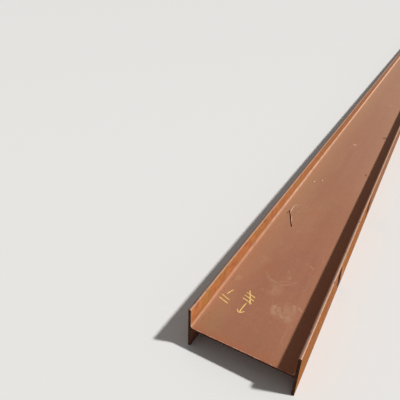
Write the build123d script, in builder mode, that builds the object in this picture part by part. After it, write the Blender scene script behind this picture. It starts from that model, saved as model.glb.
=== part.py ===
"""Wide-flange steel beam, 16 by 7 inches and 36 pounds a foot, in a stock length of 40 feet.

It is one piece of hot-rolled steel. It lies on the tips of its flanges with the web level.
+Y runs along the beam, +Z is up, and the origin is on the ground under the middle of the beam.
"""

import os

from build123d import *

# Driving dimensions, in millimetres
beam_length = 12192.0  # 40 ft, a length in which mills stock wide-flange beams
section_depth = 402.8  # over the outer faces of the two flanges
flange_width = 177.4  # from tip to tip, which is the height of the beam as it lies
flange_thickness = 10.9
web_thickness = 7.5
root_radius = 11.0  # the fillet that the rolls leave between web and flange
toe_radius = 2.6  # the rounded inner corner of a flange tip
heel_radius = 1.4  # the sharper outer corner of a flange tip

# Places that follow from them
web_level = flange_width / 2
clear_depth = section_depth - 2 * flange_thickness
flange_spacing = section_depth - flange_thickness

with BuildPart() as i_beam:
    with BuildSketch(Plane.XZ) as section:
        with Locations((0, web_level)):
            Rectangle(clear_depth, web_thickness)
            with GridLocations(flange_spacing, 0, 2, 1):
                Rectangle(flange_thickness, flange_width)

        # Each flange has its heels on its outer face, and its toes and roots on its inner face
        left_outer, left_inner, right_inner, right_outer = section.vertices().group_by(Axis.X)
        heels = left_outer + right_outer
        toes = ShapeList()
        roots = ShapeList()
        for inner_face in (left_inner, right_inner):
            lower_toe, lower_root, upper_root, upper_toe = inner_face.sort_by(Axis.Y)
            toes += [lower_toe, upper_toe]
            roots += [lower_root, upper_root]
        fillet(roots, root_radius)
        fillet(toes, toe_radius)
        fillet(heels, heel_radius)

    extrude(amount=beam_length / 2, both=True)

i_beam.part.label = "i_beam"
os.makedirs("parts", exist_ok=True)
export_step(i_beam.part, "parts/i_beam.step")
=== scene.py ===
"""Weathered wide-flange steel beam, lying on the tips of its flanges with the web level.

The detailed beam replaces the plain solid. Its mesh has the mill waviness, scabs of rust, dented tips, a
scraped hollow and the sawn ends. Its material has the rust, dust, water marks and worn tips, and painted
light: highlights on the root fillets, the tips and the cut edges, sheen farther along, light on the web
towards the right root, and shade on the tips, near the roots and on the sawn ends. Strokes of paint stick,
a dry stalk darkened with painted shadow, straw with a painted highlight, chips and crumbs of rust lie on
it. Lengths are in metres.
"""

import math
from functools import reduce

import bmesh
import bpy
import numpy as np
from mathutils import Matrix, Vector
from mathutils.bvhtree import BVHTree
from mathutils.geometry import delaunay_2d_cdt


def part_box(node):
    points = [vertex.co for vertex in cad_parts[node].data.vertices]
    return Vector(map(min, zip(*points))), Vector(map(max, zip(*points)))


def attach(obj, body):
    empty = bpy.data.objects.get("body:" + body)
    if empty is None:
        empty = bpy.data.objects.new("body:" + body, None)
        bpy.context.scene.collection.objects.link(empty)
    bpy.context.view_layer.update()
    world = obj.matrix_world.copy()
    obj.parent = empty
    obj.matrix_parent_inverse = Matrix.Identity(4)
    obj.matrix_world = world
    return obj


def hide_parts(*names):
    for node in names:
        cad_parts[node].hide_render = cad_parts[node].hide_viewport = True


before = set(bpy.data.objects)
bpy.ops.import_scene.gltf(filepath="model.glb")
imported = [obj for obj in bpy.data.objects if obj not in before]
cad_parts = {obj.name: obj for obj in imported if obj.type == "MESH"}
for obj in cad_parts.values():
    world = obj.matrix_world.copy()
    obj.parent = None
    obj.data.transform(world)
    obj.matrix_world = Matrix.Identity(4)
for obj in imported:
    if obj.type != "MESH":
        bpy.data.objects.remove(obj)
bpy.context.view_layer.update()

# The rolled section, as in the solid that this scene dresses
FLANGE_THICKNESS = 0.0109
WEB_THICKNESS = 0.0075
ROOT_RADIUS = 0.011
TOE_RADIUS = 0.0026
HEEL_RADIUS = 0.0014

LOW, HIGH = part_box("i_beam")
LENGTH = HIGH.y - LOW.y
NEAR_END = LOW.y
HALF_DEPTH = HIGH.x
FLANGE_WIDTH = HIGH.z
WEB_LEVEL = FLANGE_WIDTH / 2
WEB_TOP = WEB_LEVEL + WEB_THICKNESS / 2
INNER_FACE = HALF_DEPTH - FLANGE_THICKNESS


def add_object(name, data):
    thing = bpy.data.objects.new(name, data)
    bpy.context.scene.collection.objects.link(thing)
    return thing


# Camera

CAMERA_FROM_NEAR_END = Vector((0.318, -0.871, 1.206))
HEADING = math.radians(-29.08)  # from +Y, towards +X
PITCH = math.radians(-30.26)
ROLL = math.radians(1.50)
SENSOR = 36.0
LENS = SENSOR * 404.3 / 400
CLIP_END = 200.0


def make_camera():
    level = math.cos(PITCH)
    forward = Vector((math.sin(HEADING) * level, math.cos(HEADING) * level, math.sin(PITCH)))
    level_right = Vector((math.cos(HEADING), -math.sin(HEADING), 0))
    level_up = level_right.cross(forward)
    right = level_right * math.cos(ROLL) + level_up * math.sin(ROLL)
    up = right.cross(forward)
    data = bpy.data.cameras.new("camera")
    data.sensor_width = SENSOR
    data.lens = LENS
    data.clip_end = CLIP_END
    camera = add_object("camera", data)
    turn = Matrix((right, up, -forward)).transposed()
    place = Vector((0, NEAR_END, 0)) + CAMERA_FROM_NEAR_END
    camera.matrix_world = Matrix.Translation(place) @ turn.to_4x4()
    bpy.context.scene.camera = camera


# Noise for the meshes: smooth random values on a lattice, the same on every run

TABLE_SIZE = 4096
LATTICE_STEPS = (73, 179, 283)  # through the table of random values, for a step along each axis


def lattice_noise(points, pitch, seed):
    """Smooth noise from -1 to 1 at each point, with bumps about a pitch apart."""
    table = np.random.RandomState(seed).rand(TABLE_SIZE) * 2 - 1
    place = points / np.asarray(pitch)
    cell = np.floor(place).astype(np.int64)
    part = place - cell
    part = part * part * part * (part * (part * 6 - 15) + 10)
    total = np.zeros(len(points))
    for corner in np.ndindex(2, 2, 2):
        weight = np.prod(np.where(corner, part, 1 - part), axis=1)
        total += weight * table[(cell + corner) @ LATTICE_STEPS % TABLE_SIZE]
    return total


# The beam's mesh: lines along the length, through the corners of one section outline

FINE_STEPS = 3  # steps of a line along a flange tip for each step of the other lines
TIP_ZONE = 0.012  # how far the finer mesh reaches down the flange's faces from its tip
TIP_CROWN = 0.0011  # how far the middle of a flange tip bulges beyond its edges
HOLLOW_PLACE = 0.552  # from the near end, on the right flange's outer face
LONGEST_STEP = 0.05  # between two points of a line along the beam


def arc(centre, radius, start, end, steps):
    """Points on an arc, from just after its start angle up to its end angle, in degrees."""
    angles = np.radians(np.linspace(start, end, steps + 1)[1:])
    return np.stack([centre[0] + radius * np.cos(angles), centre[1] + radius * np.sin(angles)], 1)


def run(start, end, steps):
    """Points on a straight run, without its start."""
    return np.linspace(start, end, steps + 1)[1:]


def quarter_outline(web_steps, root_steps, side_steps):
    """The upper right quarter of the section, from the web's middle to the outer face at web level."""
    root = (INNER_FACE - ROOT_RADIUS, WEB_TOP + ROOT_RADIUS)
    toe = (INNER_FACE + TOE_RADIUS, FLANGE_WIDTH - TOE_RADIUS)
    heel = (HALF_DEPTH - HEEL_RADIUS, FLANGE_WIDTH - HEEL_RADIUS)
    before = np.concatenate([
        run((0, WEB_TOP), (root[0], WEB_TOP), web_steps),
        arc(root, ROOT_RADIUS, -90, 0, root_steps),
        run((INNER_FACE, root[1]), (INNER_FACE, toe[1] - TIP_ZONE), side_steps),
    ])
    tip = np.concatenate([
        run((INNER_FACE, toe[1] - TIP_ZONE), (INNER_FACE, toe[1]), 3),
        arc(toe, TOE_RADIUS, 180, 90, 3),
        run((toe[0], FLANGE_WIDTH), (heel[0], FLANGE_WIDTH), 3),
        arc(heel, HEEL_RADIUS, 90, 0, 2),
        run((HALF_DEPTH, heel[1]), (HALF_DEPTH, heel[1] - TIP_ZONE), 3),
    ])
    off_crown = (tip[:, 0] - HALF_DEPTH + FLANGE_THICKNESS / 2) / (FLANGE_THICKNESS / 2)
    tip[:, 1] -= TIP_CROWN * off_crown ** 2 * np.clip((tip[:, 1] - toe[1]) / TOE_RADIUS, 0, 1)
    after = run((HALF_DEPTH, heel[1] - TIP_ZONE), (HALF_DEPTH, WEB_LEVEL), side_steps + 1)
    fine = np.repeat([False, True, False], [len(before), len(tip), len(after)])
    return np.concatenate([before, tip, after]), fine


def section_outline():
    """The section's corner loop, x across and z up, clockwise from the middle of the web's lower face.

    With it comes, for each corner, whether its line carries the finer mesh of a flange tip.
    """
    upper, upper_fine = quarter_outline(13, 5, 6)
    lower, lower_fine = quarter_outline(8, 3, 4)
    lower = lower * (1, -1) + (0, FLANGE_WIDTH)
    right = np.concatenate([upper, lower[-2::-1]])
    right_fine = np.concatenate([upper_fine, lower_fine[-2::-1]])
    left = right[::-1] * (-1, 1)
    loop = np.concatenate([[(0, FLANGE_WIDTH - WEB_TOP)], left, [(0, WEB_TOP)], right])
    fine = np.concatenate([[False], right_fine[::-1], [False], right_fine])
    return loop, fine


def outline_normals(outline):
    """Directions outward at the outline's corners."""
    ahead = np.roll(outline, -1, 0) - outline
    ahead /= np.linalg.norm(ahead, axis=1)[:, None]
    turn = ahead + np.roll(ahead, 1, 0)
    normals = np.stack([-turn[:, 1], turn[:, 0]], 1)
    return normals / np.linalg.norm(normals, axis=1)[:, None]


def stations():
    """Places along the beam where every line has a point, close together at the ends and at the hollow."""
    places = [0.0, 0.0005, 0.003]
    while places[-1] < LENGTH - 0.012:
        done = places[-1]
        after_start = 0.009 + 0.011 * done
        before_end = 0.009 + 0.05 * (LENGTH - done)
        off_hollow = 0.006 + 0.12 * abs(done - HOLLOW_PLACE)
        places.append(done + min(LONGEST_STEP, after_start, before_end, off_hollow))
    return NEAR_END + np.array(places + [LENGTH - 0.003, LENGTH - 0.0005, LENGTH])


def strip(first, second, first_fine, second_fine):
    """Faces between two neighbouring lines, given the numbers of their points."""
    if first_fine == second_fine:
        return [np.stack([first[:-1], second[:-1], second[1:], first[1:]], 1)]
    many, few = (first, second) if first_fine else (second, first)
    a, b = few[:-1], few[1:]
    m0, m1, m2, m3 = (many[k:][::FINE_STEPS][:len(a)] for k in range(FINE_STEPS + 1))
    fans = [(a, m0, m1), (a, m1, m2), (a, m2, b), (b, m2, m3)]
    if first_fine:
        fans = [fan[::-1] for fan in fans]
    return [np.stack(fan, 1) for fan in fans]


def cut_face(outline):
    """Triangles that fill the section, and the loose points inside it that carry the cut's unevenness."""
    grid = 0.0029
    across, up = np.meshgrid(np.arange(-HALF_DEPTH, HALF_DEPTH, grid), np.arange(0, FLANGE_WIDTH, grid))
    shift = np.random.RandomState(5).uniform(-0.0006, 0.0006, (across.size, 2))
    loose = np.stack([across.ravel(), up.ravel()], 1) + shift
    off_web = np.abs(loose[:, 1] - WEB_LEVEL)
    off_middle = np.abs(loose[:, 0])
    margin = 0.0012
    in_web = (off_middle < INNER_FACE) & (off_web < WEB_THICKNESS / 2 - margin)
    in_flange = (off_middle > INNER_FACE + margin) & (off_middle < HALF_DEPTH - margin)
    in_flange &= off_web < WEB_LEVEL - 2 * margin
    points = np.concatenate([outline, loose[in_web | in_flange]])
    loop = list(range(len(outline)))
    places, _, faces, sources, _, _ = delaunay_2d_cdt([Vector(p) for p in points], [], [loop], 1, 1e-7)
    number = [source[0] for source in sources]
    faces = np.array([[number[v] for v in face] for face in faces])
    corners = points[faces]
    turn = np.cross(corners[:, 1] - corners[:, 0], corners[:, 2] - corners[:, 0])
    faces[turn < 0] = faces[turn < 0][:, ::-1]
    return points[len(outline):], faces


# The baked map: the section's skin unrolled, in three lengths side by side, and the two ends above them

MAP_SIDE = 4.62
MAP_LENGTHS = 3
MAP_GAP = 0.03
END_GAP = 0.1  # before each end
END_RISE = 0.12  # from the lengths up to the ends
END_ENLARGED = 2.2


def skin_map(around, y, middle):
    """Map places of skin points, from their way round the section and along the beam."""
    length = LENGTH / MAP_LENGTHS
    lane = np.minimum(((middle - NEAR_END) / length).astype(int), MAP_LENGTHS - 1)
    u = MAP_GAP / 2 + lane * (SKIN_WIDTH + MAP_GAP) + around
    v = MAP_GAP + (y - NEAR_END) - lane * length
    return np.stack([u, v], -1) / MAP_SIDE


def end_map(points, far):
    left = END_GAP + far * (HALF_DEPTH * 2 * END_ENLARGED + END_GAP)
    u = left + (points[..., 0] + HALF_DEPTH) * END_ENLARGED
    v = LENGTH / MAP_LENGTHS + END_RISE + points[..., 1] * END_ENLARGED
    return np.stack([u, v], -1) / MAP_SIDE


outline, on_tip = section_outline()
SKIN_STEPS = np.linalg.norm(np.roll(outline, -1, 0) - outline, axis=1)
SKIN_WIDTH = SKIN_STEPS.sum()


# The relief of the beam's skin

WAVINESS = 0.00035
SCAB_HEIGHT = 0.0002
HOLLOW_DEPTH = 0.0010
ARRIS_LOSS = 0.0003  # how far the sharp edge of a cut is worn back
BURR_HEIGHT = 0.0004
LEAN = 0.0006
DENTS = 230
DENT_DEPTHS = (0.0002, 0.0008)
DENT_REACHES = ((0.003, 0.007), (0.005, 0.018), (0.003, 0.006))  # across, along the beam and up


def rust_relief(places):
    """Rolling waviness and thin scabs of rust: how far the skin stands out."""
    waviness = WAVINESS * lattice_noise(places, (0.35, 0.9, 0.35), 1)
    patches = lattice_noise(places, (0.035, 0.06, 0.035), 2) + 0.6 * lattice_noise(places, 0.015, 3)
    scabs = SCAB_HEIGHT * np.clip((patches - 0.3) * 5, 0, 1)
    return waviness + scabs


def tip_dents(places):
    """How deep handling has dented the flange tips at each place."""
    random = np.random.RandomState(11)
    depth = np.zeros(len(places))
    near_tip = np.flatnonzero(np.abs(places[:, 2] - WEB_LEVEL) > WEB_LEVEL - TIP_ZONE)
    tips = places[near_tip]
    for _ in range(DENTS):
        distance = LENGTH * random.rand() ** 1.6
        across = random.choice([INNER_FACE + 0.001, HALF_DEPTH - 0.003, HALF_DEPTH])
        across *= random.choice([-1, 1])
        centre = (across, NEAR_END + distance, FLANGE_WIDTH * random.choice([0, 1, 1]))
        reach = [random.uniform(*ends) for ends in DENT_REACHES]
        deep = random.uniform(*DENT_DEPTHS)
        closeness = np.clip(1 - (((tips - centre) / reach) ** 2).sum(1), 0, 1)
        depth[near_tip] = np.maximum(depth[near_tip], deep * closeness ** 1.5)
    return depth


def scraped_hollow(places):
    """How deep a slanting hollow in the right flange's outer face is, where something has scraped it."""
    height = places[:, 2]
    off_line = places[:, 1] - NEAR_END - HOLLOW_PLACE - 0.31 * (0.097 - height)
    width = 0.038 + 0.005 * np.sin(height * 110) + 0.003 * np.sin(height * 470)
    across = np.clip(1.2 * (1 - (off_line / width) ** 2), 0, 1)
    upward = np.clip(1.4 * (1 - ((height - 0.093) / 0.064) ** 2), 0, 1)
    return HOLLOW_DEPTH * across * upward * (places[:, 0] > INNER_FACE + 0.005)


def cut_depth(points):
    """How far the cut end lies inside the nominal length at each point of the section."""
    flat = np.stack([points[:, 0], points[:, 1], np.zeros(len(points))], 1)
    swell = lattice_noise(flat, (0.05, 0.05, 1), 21)
    ripple = lattice_noise(flat, (0.03, 0.006, 1), 22)
    return 0.0002 + 0.00012 * swell + 0.00008 * ripple


def shape_skin(places, outward):
    """Moves the skin's points to their real places.

    Returns how worn each point is: up to 1 in a dent, and up to 2 in the hollow.
    """
    dents = tip_dents(places)
    hollow = scraped_hollow(places)
    from_end = np.minimum(places[:, 1] - NEAR_END, NEAR_END + LENGTH - places[:, 1])
    arris = ARRIS_LOSS * np.clip(1 - from_end / 0.0009, 0, 1)
    burr = BURR_HEIGHT * np.clip(lattice_noise(places, (0.012, 1, 0.012), 31), 0, 1)
    burr *= np.clip(1 - from_end / 0.004, 0, 1)
    places += outward * (rust_relief(places) + burr - dents - hollow - arris)[:, None]

    # The flanges lean a little in and out along the beam
    reach = ((places[:, 2] - WEB_LEVEL) / WEB_LEVEL) ** 2
    lean = lattice_noise(np.sign(places) * (1, 0, 1) + places * (0, 1, 0), (0.6, 1.3, 0.6), 41)
    places[:, 0] += LEAN * lean * reach

    at_end = from_end < 0.0001
    inward = np.where(places[:, 1] < 0, 1, -1) * cut_depth(places[:, ::2])
    places[at_end, 1] += inward[at_end]
    places[:, 2] = np.maximum(places[:, 2], 0)
    return np.clip(dents / 0.0006, 0, 1) + np.clip(hollow / 0.0005, 0, 2)


def skin_lines():
    """The numbers of the points on each line, and every point's place and direction outward."""
    coarse = stations()
    steps = len(coarse)
    fine = np.interp(np.arange(FINE_STEPS * (steps - 1) + 1) / FINE_STEPS, np.arange(steps), coarse)
    lines, places, outward, start = [], [], [], 0
    for corner, normal, is_fine in zip(outline, outline_normals(outline), on_tip):
        along = fine if is_fine else coarse
        lines.append(np.arange(start, start + len(along)))
        places.append(np.stack([np.full(len(along), corner[0]), along, np.full(len(along), corner[1])], 1))
        outward.append(np.tile([normal[0], 0, normal[1]], (len(along), 1)))
        start += len(along)
    return lines, np.concatenate(places), np.concatenate(outward)


def skin_faces(lines, y):
    """Faces of the skin, and their corners' places on the map."""
    around = np.concatenate([[0], np.cumsum(SKIN_STEPS)])
    faces, maps = [], []
    for i, line in enumerate(lines):
        j = (i + 1) % len(lines)
        for block in strip(line, lines[j], on_tip[i], on_tip[j]):
            on_first = (block >= line[0]) & (block <= line[-1])
            way_round = np.where(on_first, around[i], around[i + 1])
            middle = y[block].mean(1, keepdims=True)
            faces += block.tolist()
            maps.append(skin_map(way_round, y[block], middle).reshape(-1, 2))
    return faces, maps


def make_beam():
    lines, places, outward = skin_lines()
    faces, maps = skin_faces(lines, places[:, 1])
    wear = shape_skin(places, outward)

    # The two cut ends
    inner, triangles = cut_face(outline)
    flat = np.concatenate([outline, inner])
    for far in (0, 1):
        rim = np.array([line[-far] for line in lines])
        added = np.arange(len(places), len(places) + len(inner))
        end = NEAR_END + far * LENGTH + (1 - 2 * far) * cut_depth(inner)
        places = np.concatenate([places, np.stack([inner[:, 0], end, inner[:, 1]], 1)])
        wear = np.concatenate([wear, np.zeros(len(inner))])
        order = triangles if far == 0 else triangles[:, ::-1]
        faces += np.concatenate([rim, added])[order].tolist()
        maps.append(end_map(flat[order], far).reshape(-1, 2))

    beam = make_object("rolled_beam", places.tolist(), faces, 50)
    layer = beam.data.uv_layers.new(name="OFBake")
    layer.data.foreach_set("uv", np.concatenate(maps).astype(np.float32).ravel())
    worn = beam.data.attributes.new("worn", "FLOAT", "POINT")
    worn.data.foreach_set("value", np.clip(wear, 0, 2).astype(np.float32))
    return beam


def make_object(name, vertices, faces, sharp_angle):
    mesh = bpy.data.meshes.new(name)
    mesh.from_pydata(vertices, [], faces)
    mesh.polygons.foreach_set("use_smooth", [True] * len(mesh.polygons))
    mesh.set_sharp_from_angle(angle=math.radians(sharp_angle))
    return add_object(name, mesh)


# Things on the web: paint-stick strokes, a dry stalk, stone chips and crumbs of rust

# Strokes that say nothing, as places across the beam and from the near end
STROKES = [
    [(-0.176, 0.191), (-0.154, 0.183), (-0.131, 0.176)],
    [(-0.173, 0.210), (-0.151, 0.201), (-0.133, 0.195)],
    [(-0.157, 0.221), (-0.152, 0.238), (-0.145, 0.254)],
    [(-0.088, 0.169), (-0.076, 0.152), (-0.059, 0.171)],
    [(-0.074, 0.154), (-0.075, 0.184), (-0.071, 0.214)],
    [(-0.095, 0.233), (-0.074, 0.228), (-0.052, 0.219)],
    [(-0.096, 0.251), (-0.072, 0.245), (-0.050, 0.238)],
    [(-0.094, 0.269), (-0.070, 0.262), (-0.053, 0.257)],
    [(-0.057, 0.214), (-0.069, 0.246), (-0.087, 0.284)],
]
STROKE_WIDTH = 0.0048
# Across a stroke, in half widths, and up from the web
STROKE_PROFILE = [
    (-1, -0.0002), (-0.8, 0.00012), (-0.3, 0.0003),
    (0.3, 0.0003), (0.8, 0.00012), (1, -0.0002),
]


def smooth_path(corners, spacing):
    """Evenly spaced points along a line that rounds its corners."""
    path = np.array(corners, float)
    for _ in range(3):
        cut = np.stack([0.75 * path[:-1] + 0.25 * path[1:], 0.25 * path[:-1] + 0.75 * path[1:]], 1)
        path = np.concatenate([path[:1], cut.reshape(-1, path.shape[1]), path[-1:]])
    length = np.concatenate([[0], np.cumsum(np.linalg.norm(np.diff(path, axis=0), axis=1))])
    even = np.linspace(0, length[-1], max(3, round(length[-1] / spacing)))
    return np.stack([np.interp(even, length, path[:, k]) for k in range(path.shape[1])], 1)


def on_web(surface, across, distance):
    """The point of the web's upper surface at a place across the beam and from the near end."""
    y = NEAR_END + distance
    hit = surface.ray_cast(Vector((across, y, WEB_TOP + 0.02)), Vector((0, 0, -1)))
    return across, y, hit[0].z


def tube_faces(count, size):
    """Faces of a closed tube through a count of rings of equal size, with a fan at each end."""
    faces = []
    for i in range(count - 1):
        for j in range(size):
            k = (j + 1) % size
            faces.append((i * size + j, i * size + k, (i + 1) * size + k, (i + 1) * size + j))
    first, last = count * size, count * size + 1
    for j in range(size):
        k = (j + 1) % size
        faces.append((first, k, j))
        faces.append((last, (count - 1) * size + j, (count - 1) * size + k))
    return faces


def counted_from(start, faces):
    return [tuple(start + v for v in face) for face in faces]


def make_strokes(surface):
    """Waxy strokes, thickest in the middle, that lie on the web's uneven skin."""
    size = len(STROKE_PROFILE)
    vertices, faces = [], []
    for number, corners in enumerate(STROKES):
        path = smooth_path(corners, 0.0022)
        ahead = np.gradient(path, axis=0)
        side = np.stack([ahead[:, 1], -ahead[:, 0]], 1) / np.linalg.norm(ahead, axis=1)[:, None]
        seeds = np.stack([path[:, 0], path[:, 1], np.full(len(path), number)], 1)
        ragged = lattice_noise(seeds, (0.004, 0.004, 0.5), 51)
        ends = np.minimum(np.arange(len(path)), np.arange(len(path))[::-1])
        half = STROKE_WIDTH / 2 * (1 + 0.22 * ragged) * np.interp(ends, [0, 1, 3], [0.45, 0.8, 1])
        ring = []
        for place, sideways, reach in zip(path, side, half):
            for offset, rise in STROKE_PROFILE:
                x, y, z = on_web(surface, *(place + sideways * offset * reach))
                ring.append((x, y, z + rise))
        start = len(vertices)
        tops = [np.mean(ring[:size], 0), np.mean(ring[-size:], 0)]
        vertices += ring + [tuple(top) for top in tops]
        faces += counted_from(start, tube_faces(len(path), size))
    return make_object("paint_stick_strokes", vertices, faces, 80)


# Stems of a dry stalk, and the straw that lies with it; the second straw is a pale strip along the main
# stem's right side, a painted highlight. At each corner the place across the beam, from the near end and
# above the web, and the radius
STEMS = [
    [(-0.0950, 0.812, 0.0002, 0.0026), (-0.0985, 0.820, 0.0004, 0.0023), (-0.1085, 0.841, 0.0010, 0.0013),
     (-0.116, 0.863, 0.0012, 0.0015), (-0.1245, 0.886, 0.0010, 0.0021), (-0.132, 0.904, 0.0012, 0.0018),
     (-0.143, 0.927, 0.0010, 0.0014), (-0.1525, 0.951, 0.0010, 0.0012)],
    [(-0.1525, 0.950, 0.0010, 0.0012), (-0.1550, 0.938, 0.0020, 0.0011), (-0.1545, 0.920, 0.0004, 0.0009)],
]
STRAWS = [
    [(-0.1405, 0.929, 0.0004, 0.0007), (-0.145, 0.947, 0.0010, 0.0016), (-0.1468, 0.970, 0.0012, 0.0015),
     (-0.1472, 1.000, 0.0010, 0.0010), (-0.1455, 1.030, 0.0004, 0.0005)],
    # A pale strip along the right side of the main stem: a painted highlight
    [(-0.1270, 0.907, 0.0002, 0.0006), (-0.1208, 0.888, 0.0004, 0.0016), (-0.1140, 0.868, 0.0004, 0.0016),
     (-0.1060, 0.846, 0.0002, 0.0006)],
    [(-0.095, 0.811, 0.0004, 0.0006), (-0.087, 0.804, 0.0008, 0.0005), (-0.077, 0.797, 0.0006, 0.0004),
     (-0.063, 0.783, 0.0004, 0.0003)],
    [(-0.139, 1.018, 0.0004, 0.0005), (-0.136, 1.031, 0.0010, 0.0005), (-0.127, 1.034, 0.0014, 0.0005),
     (-0.122, 1.020, 0.0010, 0.0004), (-0.127, 1.006, 0.0004, 0.0003)],
    [(-0.119, 0.994, 0.0004, 0.0005), (-0.107, 0.985, 0.0012, 0.0005), (-0.103, 0.972, 0.0014, 0.0004),
     (-0.113, 0.963, 0.0004, 0.0003)],
]


def make_stems(name, surface, stems):
    """Tapering stems with thicker joints, that lie on the web."""
    sides = 8
    vertices, faces = [], []
    for corners in stems:
        *path, radius = smooth_path(corners, 0.0025).T
        path = np.stack(path, 1)
        count = len(path)
        radius *= 1 + 0.25 * (np.arange(count) % 9 == 4)
        for k in range(count):
            x, y, z = on_web(surface, path[k, 0], path[k, 1])
            path[k] = x, y, path[k, 2] + (z + 0.3 * radius[k])
        ahead = np.gradient(path, axis=0)
        ahead /= np.linalg.norm(ahead, axis=1)[:, None]
        side = np.cross(ahead, (0, 0, 1))
        side /= np.linalg.norm(side, axis=1)[:, None]
        top = np.cross(side, ahead)
        start = len(vertices)
        for k in range(count):
            for turn in np.arange(sides)[::-1] * 2 * math.pi / sides:
                out = math.cos(turn) * side[k] + math.sin(turn) * top[k]
                vertices.append(tuple(path[k] + radius[k] * out))
        vertices += [tuple(path[0] - ahead[0] * radius[0]), tuple(path[-1] + ahead[-1] * 2 * radius[-1])]
        faces += counted_from(start, tube_faces(count, sides))
    return make_object(name, vertices, faces, 80)


def add_lump(vertices, faces, centre, size, flatness, seed, detail):
    """Adds one rough stone or crumb, resting on its lowest point."""
    ball = bmesh.new()
    bmesh.ops.create_icosphere(ball, subdivisions=detail, radius=1.0)
    shape = np.array([v.co for v in ball.verts])
    corners = [[v.index for v in face.verts] for face in ball.faces]
    ball.free()
    shape *= (1 + 0.35 * lattice_noise(shape + 7 * seed, 0.9, 61))[:, None]
    turn = np.random.RandomState(seed).uniform(0, 2 * math.pi)
    cos, sin = math.cos(turn), math.sin(turn)
    shape[:, :2] = shape[:, :2] @ np.array([[cos, -sin], [sin, cos]])
    shape *= np.array([1, 0.75, flatness]) * size / 2
    shape[:, 2] -= shape[:, 2].min() + 0.08 * size * flatness
    start = len(vertices)
    vertices += (shape + centre).tolist()
    faces += counted_from(start, corners)


# Pale chips that the photograph shows, across the beam and from the near end, with their size
CHIPS = [(-0.1365, 1.348, 0.014), (-0.098, 1.391, 0.010)]
CRUMBS = 260
CRUMB_SIZES = (0.0014, 0.0038)


def make_chips(surface):
    vertices, faces = [], []
    for number, (across, distance, size) in enumerate(CHIPS):
        add_lump(vertices, faces, on_web(surface, across, distance), size, 0.34, number + 1, 2)
    return make_object("stone_chips", vertices, faces, 35)


def make_crumbs(surface):
    """Crumbs of rust that have gathered along the roots, and a few out on the web."""
    random = np.random.RandomState(71)
    vertices, faces = [], []
    for number in range(CRUMBS):
        distance = 0.03 + (LENGTH - 0.06) * random.rand() ** 1.4
        from_root = abs(random.normal(0, 0.006)) if random.rand() < 0.75 else random.uniform(0, 0.17)
        across = (INNER_FACE - ROOT_RADIUS + 0.003 - from_root) * random.choice([-1, 1])
        size = random.uniform(*CRUMB_SIZES)
        add_lump(vertices, faces, on_web(surface, across, distance), size, 0.6, number + 100, 1)
    return make_object("rust_crumbs", vertices, faces, 35)


# Materials: a small helper to build node trees

COLOUR_A, COLOUR_B, COLOUR_RESULT = 6, 7, 2  # a Mix node's colour sockets


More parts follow.
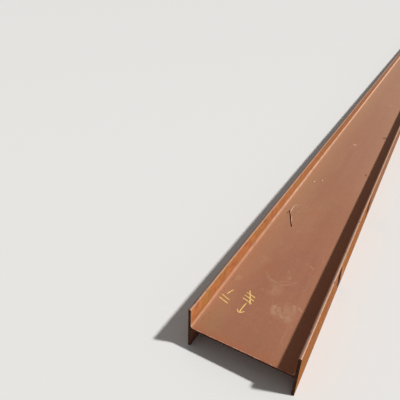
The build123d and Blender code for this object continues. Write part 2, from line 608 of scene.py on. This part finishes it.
class Tree:
    """The nodes of one material."""

    def __init__(self, name):
        self.material = bpy.data.materials.new(name)
        self.material.use_nodes = True
        self.nodes = self.material.node_tree.nodes
        self.shader = self.nodes["Principled BSDF"]
        coordinates = self.new("TexCoord", {})
        self.where = coordinates.outputs["Object"]
        self.facing = coordinates.outputs["Normal"]

    def new(self, kind, settings, *values, **named):
        """A node with its settings made, and its inputs fed in order and by name."""
        node = self.nodes.new("ShaderNode" + kind)
        for name, setting in settings.items():
            setattr(node, name, setting)
        for socket, value in zip(node.inputs, values):
            self.feed(socket, value)
        for name, value in named.items():
            self.feed(node.inputs[name], value)
        return node

    def feed(self, socket, value):
        if isinstance(value, bpy.types.NodeSocket):
            self.material.node_tree.links.new(value, socket)
        elif isinstance(value, tuple) and len(value) == 3 and socket.type == "RGBA":
            socket.default_value = (*value, 1)
        else:
            socket.default_value = value

    def math(self, kind, a, b=0.0, c=0.0):
        return self.new("Math", {"operation": kind}, a, b, c).outputs[0]

    def plus(self, a, b):
        return self.math("ADD", a, b)

    def minus(self, a, b):
        return self.math("SUBTRACT", a, b)

    def times(self, *values):
        return reduce(lambda a, b: self.math("MULTIPLY", a, b), values)

    def highest(self, a, b):
        return self.math("MAXIMUM", a, b)

    def stretch(self, factors, offset=(0, 0, 0)):
        """Object places, scaled apart, for patterns longer one way than the other."""
        return self.new("Mapping", {}, Vector=self.where, Scale=factors, Location=offset).outputs[0]

    def vector(self, kind, *values):
        node = self.new("VectorMath", {"operation": kind}, *values)
        return node.outputs["Value" if kind in ("LENGTH", "DOT_PRODUCT") else "Vector"]

    def wander(self, scale, amount):
        """Object places, pushed about by noise, for edges that aren't straight."""
        push = self.vector("SUBTRACT", self.noise(scale, 3, 0.6, colour=True), (0.5, 0.5, 0.5))
        return self.vector("MULTIPLY_ADD", push, (amount, amount, amount), self.where)

    def noise(self, scale, detail=3.0, rough=0.55, warp=0.0, where=None, colour=False):
        node = self.new("TexNoise", {}, Vector=where or self.where, Scale=scale, Detail=detail,
                        Roughness=rough, Distortion=warp)
        return node.outputs["Color" if colour else "Fac"]

    def cells(self, scale, where=None):
        """Distance to the nearest of many scattered points, and a random colour for each point."""
        node = self.new("TexVoronoi", {}, Vector=where or self.where, Scale=scale)
        return node.outputs["Distance"], node.outputs["Color"]

    def fade(self, value, start, end, low=0.0, high=1.0):
        """Smoothly from low, where value is start, to high, where it is end."""
        settings = {"interpolation_type": "SMOOTHSTEP"}
        return self.new("MapRange", settings, value, start, end, low, high).outputs[0]

    def line(self, value, place, half_width):
        """1 where value is at place, fading to 0 a half width away."""
        off = self.math("ABSOLUTE", self.minus(value, place))
        return self.fade(off, half_width, half_width * 0.15)

    def ellipse(self, places, centre, reach):
        """0 at an ellipse's centre, 1 at its rim, and more beyond."""
        total = 0.0
        for place, middle, half in zip(places, centre, reach):
            off = self.math("DIVIDE", self.minus(place, middle), half)
            total = self.math("MULTIPLY_ADD", off, off, total)
        return total

    def mix(self, amount, a, b, kind="MIX"):
        node = self.new("Mix", {"data_type": "RGBA", "blend_type": kind}, Factor=amount)
        self.feed(node.inputs[COLOUR_A], a)
        self.feed(node.inputs[COLOUR_B], b)
        return node.outputs[COLOUR_RESULT]

    def shade(self, colour, factor):
        """The colour made lighter or darker by a number."""
        grey = self.new("CombineColor", {}, factor, factor, factor)
        return self.mix(1.0, colour, grey.outputs[0], "MULTIPLY")

    def apart(self, vector):
        return self.new("SeparateXYZ", {}, vector).outputs

    def bump(self, height, distance, normal=None):
        node = self.new("Bump", {}, Height=height, Distance=distance)
        if normal:
            self.feed(node.inputs["Normal"], normal)
        return node.outputs[0]

    def paint(self, colour, roughness, normal=None, ior=None):
        """Feeds the shader, and returns the finished material."""
        fed = {"Base Color": colour, "Roughness": roughness, "Normal": normal, "IOR": ior}
        for name, value in fed.items():
            if value is not None:
                self.feed(self.shader.inputs[name], value)
        return self.material


# Rust colours, linear
PINK_BROWN = (0.358, 0.153, 0.090)
ORANGE_BROWN = (0.375, 0.148, 0.076)
TAN = (0.382, 0.182, 0.104)
PURPLE_BROWN = (0.315, 0.130, 0.090)
HEATED_RED = (0.400, 0.128, 0.075)
# Paler dust and painted sheen, for faces farther from the near end
BLEACHED_AND_SHEEN = (0.495, 0.305, 0.215)
PALE_DUST = (0.460, 0.260, 0.165)
# A greyer tone for the inner faces far from the near end
FAR_GREY = (0.280, 0.210, 0.172)
OLIVE_TAN = (0.385, 0.205, 0.115)
ORANGE_RUST = (0.600, 0.222, 0.083)
YELLOW_RUST = (0.530, 0.242, 0.076)
RED_RUST = (0.380, 0.115, 0.055)
# Painted shade for the flanges' inner faces near the root
PAINTED_ROOT_SHADE = (0.470, 0.175, 0.045)
# Pale rust of the root fillets, brightened as a painted highlight
PEACH_AND_HIGHLIGHT = (0.640, 0.335, 0.205)
PALE_PEACH = (0.830, 0.520, 0.370)
# Paler rust of the root fillets farther along, brightened as a painted highlight
PALE_ROOT_AND_HIGHLIGHT = (0.780, 0.480, 0.335)
# Painted highlight along the cut edges
ARRIS_HIGHLIGHT = (0.620, 0.400, 0.290)
PALE_TIP = (0.470, 0.265, 0.190)
GREY_TIP = (0.520, 0.330, 0.255)
# Painted shade and a painted highlight for the two sides of a flange tip, in the next two colours
PAINTED_SHADE_TIP = (0.175, 0.115, 0.088)
PAINTED_HIGHLIGHT_TIP = (0.720, 0.450, 0.330)
OUTER_RUST = (0.368, 0.124, 0.030)
OUTER_OLIVE = (0.360, 0.160, 0.050)
DULL_BROWN = (0.280, 0.155, 0.092)
DARK_RUST = (0.105, 0.046, 0.026)
UNDER_BROWN = (0.200, 0.082, 0.050)
UNDER_RED = (0.255, 0.098, 0.050)
# The sawn ends' dark rust, here and in the next colour, darkened further with painted shade
CUT_RUST_AND_SHADE = (0.062, 0.028, 0.017)
CUT_BLACK_AND_SHADE = (0.040, 0.020, 0.013)
FRESH_RUST = (0.150, 0.056, 0.026)
MILL_SCALE = (0.085, 0.072, 0.075)
MUD = (0.240, 0.150, 0.085)
SOOT = (0.012, 0.004, 0.002)


def web_rust(t):
    """The web's even pink-brown rust: slow drifts of tint, faint streaks from rolling, small mottles."""
    drift = t.noise(2.2, 2, 0.5, 0.5, t.stretch((1.6, 0.6, 1)))
    colour = t.mix(t.fade(drift, 0.46, 0.68, 0, 0.75), PINK_BROWN, TAN)
    tint = t.noise(8, 3, 0.5, 0.6, t.stretch((1, 0.6, 1), (7, 0, 0)))
    colour = t.mix(t.fade(tint, 0.52, 0.74, 0, 0.4), colour, ORANGE_BROWN)
    colour = t.mix(t.fade(tint, 0.46, 0.28, 0, 0.35), colour, PURPLE_BROWN)
    streaks = t.noise(34, 3, 0.6, 0, t.stretch((1, 0.05, 1)))
    colour = t.shade(colour, t.fade(streaks, 0.3, 0.7, 0.975, 1.025))
    mottle = t.noise(48, 3, 0.62, 0.7)
    colour = t.mix(t.fade(mottle, 0.55, 0.75, 0, 0.22), colour, PALE_DUST)
    return t.mix(t.fade(mottle, 0.42, 0.25, 0, 0.30), colour, PURPLE_BROWN)


def root_stains(t, colour, x):
    """Water stands along the roots, and leaves a tan band there with an uneven edge and a tide line."""
    from_root = t.minus(INNER_FACE - ROOT_RADIUS, t.math("ABSOLUTE", x))
    uneven = t.noise(2.6, 4, 0.6, 0.3, t.stretch((0.3, 1, 0.3), (3, 1, 2)))
    edge = t.fade(uneven, 0.3, 0.75, 0.008, 0.085)
    inside = t.minus(edge, from_root)
    sunny = t.fade(x, 0.02, -0.02, 0.35, 1)
    colour = t.mix(t.times(t.fade(inside, -0.016, 0.026, 0, 0.7), sunny), colour, TAN)
    tide = t.times(t.line(inside, 0.0, 0.004), t.fade(t.noise(9), 0.45, 0.6, 0, 0.2))
    colour = t.mix(tide, colour, PALE_DUST)
    crust = t.times(t.fade(from_root, 0.014, 0.0), t.fade(t.noise(70, 3, 0.6), 0.42, 0.62))
    return t.mix(t.times(crust, 0.35), colour, RED_RUST)


def web_tints_and_painted_light(t, colour, x, distance):
    """A more olive tan along the left root; towards the right one a paler tan, partly painted light, and
    painted light that lifts the web where the edge of the right flange's soft shadow would darken it; and a
    little paler in the middle farther along.
    """
    left = t.times(t.fade(x, -0.03, -0.17), t.fade(distance, 0.55, 1.1, 0.25, 0.75))
    colour = t.mix(left, colour, OLIVE_TAN)
    # A paler tan towards the right root, partly painted light against the shadow's soft edge
    colour = t.mix(t.times(t.fade(x, 0.05, 0.13, 0, 0.5), t.fade(distance, 0.3, 1.6)), colour, TAN)
    colour = t.mix(t.times(t.fade(x, -0.08, 0.02, 0, 0.10), t.fade(distance, 1.0, 1.6)), colour, BLEACHED_AND_SHEEN)
    # Painted light: the web lifted towards the right root, against the shadow's soft edge
    return t.shade(colour, t.fade(x, 0.02, 0.13, 1.0, 1.05))


def bleach_and_sheen(t, colour, distance):
    """Everything grows paler away from the near end: partly paler dust, and partly a painted sheen of faces
    seen more edge-on farther away.
    """
    return t.mix(t.fade(distance, -0.5, 5.0, 0, 0.42), colour, BLEACHED_AND_SHEEN)


def near_edge(t, colour, from_end):
    """Close to the cut the rust is more orange, and red at the very edge, where the saw heated it."""
    ragged = t.plus(from_end, t.fade(t.noise(55, 3, 0.6), 0.2, 0.8, -0.004, 0.004))
    colour = t.mix(t.fade(ragged, 0.045, 0.012, 0, 0.6), colour, ORANGE_BROWN)
    colour = t.mix(t.fade(ragged, 0.009, 0.003, 0, 0.6), colour, HEATED_RED)
    return t.shade(colour, t.fade(from_end, 0.13, 0.05, 1.0, 0.95))


def tide_marks(t, colour):
    """Thin pale outlines where shallow water has dried, and rings round single drops."""
    pool = t.noise(3.4, 3, 0.5, 0.4, t.stretch((1, 0.7, 1), (5, 2, 0)))
    rim = t.fade(t.math("PINGPONG", pool, 0.06), 0.0045, 0.0008)
    colour = t.mix(t.times(rim, t.fade(t.noise(4.5, 2, 0.5), 0.52, 0.64), 0.10), colour, PALE_DUST)
    reach, tint = t.cells(2.4, t.wander(14, 0.06))
    size = t.fade(t.apart(tint)[0], 0, 1, 0.02, 0.075)
    drop = t.line(t.minus(reach, size), 0.0, 0.011)
    return t.mix(t.times(drop, t.fade(t.noise(7, 3, 0.6), 0.46, 0.62), 0.25), colour, PALE_DUST)


# Crescents of dust round dried drops: across the beam, from the near end, radius, half width,
# heading from +X towards +Y, half spread in degrees, strength
CRESCENTS = [
    (0.059, 0.243, 0.032, 0.015, 200, 78, 0.85),
    (0.086, 0.252, 0.039, 0.013, 214, 62, 0.85),
    (0.085, 0.217, 0.004, 0.026, 0, 180, 0.80),
    (0.088, 0.266, 0.0155, 0.009, 315, 100, 0.65),
    (0.066, 0.2715, 0.033, 0.010, 22, 34, 0.80),
    (0.097, 0.266, 0.030, 0.009, 49, 32, 0.75),
    (0.066, 0.246, 0.010, 0.055, 0, 180, 0.50),
    (-0.009, 0.449, 0.067, 0.010, 252, 24, 0.52),
    (-0.009, 0.449, 0.067, 0.008, 222, 34, 0.30),
    (0.043, 0.3585, 0.057, 0.007, 124, 32, 0.30),
    (-0.083, 0.529, 0.175, 0.008, 312, 16, 0.45),
    (0.003, 0.415, 0.0345, 0.008, 272, 34, 0.24),
    (0.024, 0.439, 0.003, 0.011, 0, 180, 0.60),
    (0.004, 0.472, 0.004, 0.013, 0, 180, 0.35),
    (-0.012, 0.340, 0.012, 0.042, 0, 180, 0.40),
    (-0.118, 0.492, 0.010, 0.036, 0, 180, 0.24),
    (-0.122, 0.506, 0.010, 0.006, 60, 90, 0.40),
    (0.067, 0.530, 0.030, 0.008, 53, 34, 0.50),
    (0.057, 0.612, 0.018, 0.007, 120, 100, 0.20),
    (-0.104, 1.010, 0.034, 0.012, 70, 95, 0.26),
    (-0.074, 1.020, 0.026, 0.010, 235, 90, 0.20),
    (-0.050, 2.165, 0.130, 0.012, 268, 12, 0.35),
]


def dust_crescents(t, colour):
    """Smeared arcs of pale dust at the crescents' places."""
    places = t.wander(40, 0.013)
    total = 0.0
    for across, distance, radius, half_width, heading, spread, strength in CRESCENTS:
        out = t.vector("SUBTRACT", places, (across, NEAR_END + distance, WEB_TOP))
        ring = t.line(t.vector("LENGTH", out), radius, half_width)
        heading, spread = math.radians(heading), math.radians(spread)
        way = (math.cos(heading), math.sin(heading), 0)
        ahead = t.vector("DOT_PRODUCT", t.vector("NORMALIZE", out), way)
        side = t.fade(ahead, math.cos(spread), math.cos(spread * 0.45))
        total = t.highest(total, t.times(ring, side, strength))
    broken = t.fade(t.noise(90, 3, 0.6), 0.36, 0.6, 0.5, 1)
    return t.mix(t.times(total, broken), colour, PALE_DUST)


# Stains on the web: across the beam, from the near end, half width, half length, colour
STAINS = [
    (-0.171, 3.207, 0.030, 0.110, (0.400, 0.225, 0.110)),
    (0.119, 2.353, 0.017, 0.024, (0.060, 0.024, 0.014)),
    (0.116, 1.611, 0.007, 0.017, (0.060, 0.026, 0.016)),
    (-0.047, 2.088, 0.015, 0.020, (0.620, 0.370, 0.260)),
    (0.050, 3.275, 0.042, 0.030, (0.440, 0.240, 0.155)),
    (-0.160, 0.330, 0.014, 0.022, (0.410, 0.225, 0.125)),
    (-0.150, 0.060, 0.050, 0.130, (0.360, 0.180, 0.095)),
    (0.100, 0.516, 0.006, 0.009, (0.420, 0.110, 0.080)),
    (-0.076, 0.016, 0.018, 0.014, (0.440, 0.170, 0.060)),
    (0.000, 0.016, 0.024, 0.012, (0.430, 0.135, 0.090)),
]


def stains(t, colour):
    """Single stains that the photograph shows, with ragged rims."""
    places = t.apart(t.wander(38, 0.022))
    for across, distance, half_width, half_length, tint in STAINS:
        out = t.ellipse(places[:2], (across, NEAR_END + distance), (half_width, half_length))
        colour = t.mix(t.fade(out, 1.0, 0.25, 0, 0.75), colour, tint)
    return colour


def specks(t, colour, x):
    """A few dark specks and pale splashes, far apart, and pale grit, most of it on the left."""
    reach, tint = t.cells(14)
    odd = t.apart(tint)
    dark = t.times(t.fade(reach, 0.085, 0.05), t.fade(odd[0], 0.86, 0.90))
    pale = t.times(t.fade(reach, 0.10, 0.06), t.fade(odd[0], 0.14, 0.10))
    colour = t.mix(t.times(dark, 0.4), colour, DARK_RUST)
    colour = t.mix(t.times(pale, 0.35), colour, PALE_DUST)
    reach, tint = t.cells(46)
    rare = t.fade(t.apart(tint)[0], 0.12, 0.08)
    grit = t.times(t.fade(reach, 0.11, 0.05), rare, t.fade(x, 0.0, -0.13, 0.15, 0.6))
    return t.mix(grit, colour, PALE_PEACH)


def web_face(t, x, distance, from_end):
    """The web's upper face, with all that has dried on it."""
    colour = web_rust(t)
    colour = root_stains(t, colour, x)
    colour = web_tints_and_painted_light(t, colour, x, distance)
    colour = tide_marks(t, colour)
    colour = stains(t, colour)
    colour = dust_crescents(t, colour)
    colour = specks(t, colour, x)
    colour = near_edge(t, colour, from_end)
    return bleach_and_sheen(t, colour, distance)


def washed_root_and_highlight(t, colour, distance, off_middle):
    """The root fillets, rubbed and rinsed pale, and brightened with a painted highlight along them."""
    pale_band_from = t.plus(off_middle, t.fade(distance, 1.5, 6.0, 0, 0.007))
    in_root = t.fade(pale_band_from, INNER_FACE - 0.0044, INNER_FACE - 0.0010)
    # The fillets' pale rust, brightened with a painted highlight
    washed_and_highlight = t.mix(t.fade(distance, 0.2, 1.4), PEACH_AND_HIGHLIGHT, PALE_ROOT_AND_HIGHLIGHT)
    return t.mix(t.times(in_root, t.fade(t.noise(22, 3), 0.3, 0.6, 0.6, 1.0)), colour, washed_and_highlight)


def side_rust_and_shade(t, distance, off_web):
    """The flanges' inner faces: soft patches of orange, yellow and red rust, with painted shade near the
    root, and greyer and darker farther from the near end.
    """
    patches = t.noise(19, 3, 0.55, 0.3, t.stretch((1, 0.6, 1)))
    colour = t.mix(t.fade(patches, 0.42, 0.62), ORANGE_RUST, YELLOW_RUST)
    reddish = t.noise(30, 3, 0.6, 0.2, t.stretch((1, 0.6, 1), (3, 0, 5)))
    colour = t.mix(t.fade(reddish, 0.50, 0.68, 0, 0.55), colour, RED_RUST)
    grains = t.noise(110, 2, 0.5, 0, t.wander(30, 0.02))
    colour = t.mix(t.fade(grains, 0.65, 0.74, 0, 0.5), colour, DARK_RUST)
    colour = t.shade(colour, t.fade(t.noise(26, 4, 0.65), 0.3, 0.7, 0.88, 1.12))
    # Painted shade: darker, more saturated rust towards the root
    colour = t.mix(t.fade(off_web, 0.060, 0.020, 0, 0.5), colour, PAINTED_ROOT_SHADE)
    # Greyer in patches farther from the near end
    patchy = t.fade(t.noise(6, 5, 0.7), 0.35, 0.65, 0.45, 1.0)
    greying = t.times(t.fade(distance, 1.6, 7.5, 0, 0.8), patchy)
    colour = t.mix(greying, bleach_and_sheen(t, colour, distance), FAR_GREY)
    return t.shade(colour, t.fade(distance, 0.8, 2.2, 1.0, 0.84))


def above_root(t, distance, off_middle, off_web):
    """1 on the flanges' inner faces, down to the uneven upper edge of the pale root band of rinsed rust and
    painted highlight.
    """
    pale_band_to = t.minus(off_web, t.fade(t.noise(12, 3, 0.6), 0.3, 0.7, -0.0015, 0.0015))
    pale_band_to = t.plus(pale_band_to, t.fade(distance, 0.0, 0.35, 0.008, 0))
    pale_band_to = t.plus(pale_band_to, t.fade(distance, 1.7, 2.7, 0, 0.0045))
    on_flange = t.fade(off_middle, INNER_FACE - 0.002, INNER_FACE - 0.001)
    return t.times(on_flange, t.fade(pale_band_to, 0.0240, 0.0275))


# Patches on the outer faces: from the near end, height, half length, half height, colour
OUTER_PATCHES = [
    (0.60, 0.146, 0.080, 0.032, (0.430, 0.225, 0.065)),
    (0.45, 0.152, 0.055, 0.016, (0.520, 0.260, 0.180)),
    (0.632, 0.047, 0.032, 0.028, (0.600, 0.380, 0.280)),
    (0.500, 0.122, 0.028, 0.034, (0.290, 0.120, 0.092)),
    (0.602, 0.020, 0.034, 0.026, (0.050, 0.020, 0.011)),
    (1.160, 0.150, 0.030, 0.020, (0.090, 0.040, 0.020)),
]


def outer_rust(t, distance, z):
    """The outer faces: browner, with runs from above, soil from below and the patches."""
    mottle = t.noise(24, 4, 0.62, 0.5, t.stretch((1, 0.7, 1)))
    colour = t.mix(t.fade(mottle, 0.48, 0.7, 0, 0.9), OUTER_RUST, OUTER_OLIVE)
    colour = t.mix(t.fade(t.noise(13, 3, 0.6), 0.56, 0.7, 0, 0.75), colour, RED_RUST)
    colour = t.mix(t.fade(distance, 1.0, 1.8, 0, 0.45), colour, DULL_BROWN)
    broad = t.noise(2.2, 3, 0.6, 0.4, t.stretch((1, 0.6, 1), (0, 4, 9)))
    farther = t.fade(distance, 0.8, 1.6)
    colour = t.mix(t.times(t.fade(broad, 0.50, 0.68, 0, 0.5), farther), colour, PURPLE_BROWN)
    colour = t.mix(t.times(t.fade(broad, 0.44, 0.28, 0, 0.5), farther), colour, PALE_DUST)
    runs = t.fade(t.noise(36, 3, 0.6, 0.3, t.stretch((0.3, 1, 0.09))), 0.52, 0.70)
    colour = t.mix(t.times(runs, t.fade(z, 0.03, FLANGE_WIDTH, 0.1, 0.6)), colour, DARK_RUST)
    places = t.apart(t.wander(20, 0.100))
    broken = t.fade(t.noise(48, 4, 0.68), 0.36, 0.60, 0.15, 0.85)
    for place, height, half_length, half_height, tint in OUTER_PATCHES:
        out = t.ellipse(places[1:], (NEAR_END + place, height), (half_length, half_height))
        colour = t.mix(t.times(t.fade(out, 1.6, 0.2), broken), colour, tint)
    splash = t.plus(z, t.fade(t.noise(16, 4, 0.65), 0.2, 0.8, -0.03, 0.03))
    return t.mix(t.fade(splash, 0.028, 0.002, 0, 0.4), colour, MUD)


def tip_wear_and_light(t, x, face_x):
    """The flange tips, rubbed bare where they have been dragged, with painted shade on the side that turns
    away from the key lamp and a painted highlight on the edge that turns towards it; the left flange's tips
    are a little darker than the right's.
    """
    colour = t.mix(t.fade(t.noise(16, 4, 0.65, 0, t.stretch((1, 0.5, 1))), 0.40, 0.66), PALE_TIP, GREY_TIP)
    # Painted shade where the tip's crown turns away from the key lamp
    colour = t.mix(t.fade(face_x, 0.36, -0.30), colour, PAINTED_SHADE_TIP)
    # A painted highlight where the tip's edge turns towards the key lamp
    colour = t.mix(t.fade(face_x, 0.20, 0.38, 0, 0.75), colour, PAINTED_HIGHLIGHT_TIP)
    return t.shade(colour, t.fade(x, -0.1, 0.1, 0.87, 1.05))


def under_rust(t):
    """The sheltered underside keeps blue-grey mill scale between patches of dark rust."""
    patch = t.noise(11, 5, 0.65, 0.6)
    colour = t.mix(t.fade(t.noise(3.1, 3), 0.35, 0.65), UNDER_BROWN, UNDER_RED)
    colour = t.mix(t.fade(patch, 0.54, 0.60, 0, 0.85), colour, MILL_SCALE)
    return t.mix(t.fade(t.noise(60, 3, 0.6), 0.58, 0.7, 0, 0.6), colour, RED_RUST)


SAW_CENTRE = 0.62  # below the floor


def saw_marks(t, x, z):
    """Fine arcs, as a large round saw leaves them."""
    off_z = t.plus(z, SAW_CENTRE)
    out = t.math("SQRT", t.plus(t.times(x, x), t.times(off_z, off_z)))
    return t.noise(260, 2, 0.5, 0, t.new("CombineXYZ", {}, out).outputs[0])


def cut_rust_and_shade(t, marks):
    """The sawn ends: nearly black, partly dark rust and partly painted shade, with the saw's marks and
    blotches of fresh rust.
    """
    colour = t.mix(t.fade(marks, 0.35, 0.65), CUT_RUST_AND_SHADE, CUT_BLACK_AND_SHADE)
    colour = t.mix(t.fade(t.noise(45, 4, 0.65), 0.54, 0.70, 0, 0.7), colour, FRESH_RUST)
    return t.mix(t.fade(t.noise(19, 3), 0.60, 0.70, 0, 0.4), colour, SOOT)


def fine_grain(t, colour):
    """The rust's own grain: soft light and dark grains, dark pores, and flecks of fresh orange."""
    colour = t.shade(colour, t.fade(t.noise(420, 3, 0.65), 0.25, 0.75, 0.91, 1.09))
    reach, tint = t.cells(230)
    odd = t.apart(tint)
    spot = t.fade(reach, 0.34, 0.12)
    colour = t.mix(t.times(spot, t.fade(odd[0], 0.78, 0.86), 0.5), colour, DARK_RUST)
    return t.mix(t.times(spot, t.fade(odd[1], 0.20, 0.10), 0.4), colour, ORANGE_RUST)


# A second dark patch, painted only and not in the mesh: along the right flange's outer face, and up it
DARK_PATCH_PLACE = (NEAR_END + 1.202, 0.096)
DARK_PATCH_REACH = (0.044, 0.062)


def wear_and_dark_patch(t, x):
    """The wear that the mesh carries, and the second dark patch."""
    places = t.apart(t.wander(24, 0.085))
    dark_patch = t.fade(t.ellipse(places[1:], DARK_PATCH_PLACE, DARK_PATCH_REACH), 1.5, 0.2, 0, 2.1)
    on_right = t.fade(x, HALF_DEPTH - 0.004, HALF_DEPTH - 0.002)
    carried = t.new("Attribute", {"attribute_name": "worn"}).outputs["Fac"]
    return t.plus(carried, t.times(dark_patch, on_right))


def steel_surface(t, ragged, marks):
    """Its roughness, and a bump of fine pits, lumps and the saw's marks."""
    matt = t.highest(t.fade(t.noise(33, 4, 0.6), 0.3, 0.7, 0.66, 0.86), t.fade(ragged, 0.8, 1.4))
    pits = t.bump(t.noise(300, 4, 0.7), 0.0005)
    lumps = t.bump(t.noise(70, 3, 0.6), 0.0007, pits)
    return matt, t.bump(marks, 0.0006, lumps)


def rusted_steel():
    t = Tree("rusted_steel")
    x, y, z = t.apart(t.where)
    face_x, face_y, _ = t.apart(t.facing)
    distance = t.minus(y, NEAR_END)
    from_end = t.minus(LENGTH / 2, t.math("ABSOLUTE", y))
    off_middle = t.math("ABSOLUTE", x)
    off_web = t.math("ABSOLUTE", t.minus(z, WEB_LEVEL))

    # The upper faces, and the sheltered lower half
    colour = web_face(t, x, distance, from_end)
    colour = washed_root_and_highlight(t, colour, distance, off_middle)
    side = above_root(t, distance, off_middle, off_web)
    colour = t.mix(side, colour, side_rust_and_shade(t, distance, off_web))
    # A painted highlight along the cut's edges, where they catch the light
    arris = t.times(t.fade(from_end, 0.0044, 0.0020), t.fade(t.noise(70, 3, 0.6), 0.40, 0.62, 0.0, 0.6))
    colour = t.mix(arris, colour, ARRIS_HIGHLIGHT)
    sheltered = t.fade(z, WEB_LEVEL + 0.001, WEB_LEVEL - 0.001)
    colour = t.mix(sheltered, colour, under_rust(t))

    # The outer faces and the tips
    outward = t.fade(t.math("ABSOLUTE", face_x), 0.6, 0.85)
    outer = t.times(t.fade(off_middle, HALF_DEPTH - 0.004, HALF_DEPTH - 0.002), outward)
    colour = t.mix(outer, colour, outer_rust(t, distance, z))
    rub = t.plus(off_web, t.fade(t.noise(85, 3, 0.6), 0.2, 0.8, -0.0010, 0.0006))
    tip = t.fade(rub, WEB_LEVEL - 0.0021, WEB_LEVEL - 0.0011, 0, 0.95)
    colour = t.mix(tip, colour, tip_wear_and_light(t, x, face_x))

    # The cut ends with their painted shade, the worn places that rust has darkened, and the second dark
    # patch
    cut = t.fade(t.math("ABSOLUTE", face_y), 0.55, 0.85)
    marks = saw_marks(t, x, z)
    colour = t.mix(cut, colour, cut_rust_and_shade(t, marks))
    worn = wear_and_dark_patch(t, x)
    colour = t.mix(t.fade(worn, 0.3, 1.0, 0, 0.6), colour, DARK_RUST)
    streaks = t.noise(70, 5, 0.68, 0.2, t.stretch((1, 1, 0.22)))
    ragged = t.plus(worn, t.fade(streaks, 0.25, 0.75, -1.1, 0.7))
    colour = fine_grain(t, colour)
    colour = t.mix(t.fade(ragged, 0.5, 1.6), colour, SOOT)
    matt, relief = steel_surface(t, ragged, t.times(marks, cut))
    return t.paint(colour, matt, relief, ior=1.12)


# Colours of what lies on the web, linear
STICK_YELLOW = (0.840, 0.540, 0.130)
STICK_PALE = (0.890, 0.660, 0.250)
# The stalk's bark, here and in the next colour, near black and darkened with painted shadow
BARK_AND_SHADOW_BLACK = (0.020, 0.006, 0.003)
BARK_BROWN = (0.060, 0.019, 0.008)
# Pale straw, brightened with a painted highlight
STRAW_PALE_AND_HIGHLIGHT = (0.930, 0.730, 0.590)
STRAW_TAN = (0.790, 0.550, 0.420)
STONE_PALE = (0.900, 0.770, 0.620)
STONE_TAN = (0.760, 0.600, 0.460)


def crumb_rust():
    t = Tree("crumb_rust")
    colour = t.mix(t.fade(t.noise(140, 2), 0.4, 0.6), RED_RUST, DARK_RUST)
    return t.paint(colour, 0.85, t.bump(t.noise(900, 3), 0.0003))


def yellow_paint_stick():
    """Waxy yellow, thin and broken where the stick skipped over the rust."""
    t = Tree("yellow_paint_stick")
    colour = t.mix(t.fade(t.noise(120, 3), 0.3, 0.7), STICK_YELLOW, STICK_PALE)
    skips = t.fade(t.noise(330, 3, 0.65), 0.56, 0.66, 0, 0.85)
    colour = t.mix(skips, colour, ORANGE_BROWN)
    return t.paint(colour, t.fade(skips, 0, 1, 0.55, 0.8), t.bump(t.noise(500, 3, 0.6), 0.0003))


def stem_fibres(t):
    """Fine fibres along the stems."""
    return t.noise(420, 3, 0.6, 0, t.stretch((1, 0.2, 1)))


def dry_bark_and_shadow():
    t = Tree("dry_bark_and_shadow")
    # The bark near black, partly its own colour and partly painted shadow
    colour = t.mix(t.fade(t.noise(260, 3), 0.4, 0.65), BARK_AND_SHADOW_BLACK, BARK_BROWN)
    return t.paint(colour, 0.9, t.bump(stem_fibres(t), 0.0004), ior=1.15)


def pale_straw_and_highlight():
    t = Tree("pale_straw_and_highlight")
    # Pale straw, brightened with a painted highlight
    colour = t.mix(t.fade(t.noise(200, 3), 0.35, 0.65), STRAW_PALE_AND_HIGHLIGHT, STRAW_TAN)
    return t.paint(colour, 0.7, t.bump(stem_fibres(t), 0.0003))


def chip_stone():
    t = Tree("chip_stone")
    colour = t.mix(t.fade(t.noise(160, 4, 0.6), 0.35, 0.65), STONE_PALE, STONE_TAN)
    return t.paint(colour, 0.8, t.bump(t.noise(600, 4, 0.6), 0.0004))


# Floor and light

FLOOR_COLOUR = (0.80, 0.79, 0.77)
FLOOR_REACH = 120
SUN_SLOPE = Vector((0.712, 0.25, 1.0))  # towards the key lamp
KEY_STRENGTH = 3.05
KEY_ANGLE = math.radians(4)
SKY_STRENGTH = 0.22


def make_floor():
    mesh = bpy.data.meshes.new("floor")
    corners = [(x * FLOOR_REACH, y * FLOOR_REACH, 0) for x, y in ((-1, -1), (1, -1), (1, 1), (-1, 1))]
    mesh.from_pydata(corners, [], [(0, 1, 2, 3)])
    mesh.materials.append(Tree("floor").paint(FLOOR_COLOUR, 0.9))
    add_object("floor", mesh)


def make_light():
    lamp = bpy.data.lights.new("key", "SUN")
    lamp.energy = KEY_STRENGTH
    lamp.angle = KEY_ANGLE
    key = add_object("key", lamp)
    key.rotation_euler = SUN_SLOPE.to_track_quat("Z", "Y").to_euler()

    world = bpy.data.worlds.new("studio")
    bpy.context.scene.world = world
    world.use_nodes = True
    nodes, links = world.node_tree.nodes, world.node_tree.links
    soft = nodes["Background"]
    soft.inputs["Color"].default_value = (1, 1, 1, 1)
    soft.inputs["Strength"].default_value = SKY_STRENGTH
    seen = nodes.new("ShaderNodeBackground")
    seen.inputs["Color"].default_value = (*FLOOR_COLOUR, 1)
    path = nodes.new("ShaderNodeLightPath")
    choose = nodes.new("ShaderNodeMixShader")
    links.new(path.outputs["Is Camera Ray"], choose.inputs[0])
    links.new(soft.outputs[0], choose.inputs[1])
    links.new(seen.outputs[0], choose.inputs[2])
    links.new(choose.outputs[0], nodes["World Output"].inputs["Surface"])


def dress(piece, material):
    piece.data.materials.append(material)
    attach(piece, "root")


bpy.context.scene.view_settings.view_transform = "Standard"
make_camera()
make_floor()
make_light()

beam = make_beam()
dress(beam, rusted_steel())
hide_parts("i_beam")

surface = BVHTree.FromPolygons([v.co for v in beam.data.vertices], [p.vertices for p in beam.data.polygons])
dress(make_strokes(surface), yellow_paint_stick())
dress(make_stems("dry_stalk", surface, STEMS), dry_bark_and_shadow())
dress(make_stems("straw", surface, STRAWS), pale_straw_and_highlight())
dress(make_chips(surface), chip_stone())
dress(make_crumbs(surface), crumb_rust())
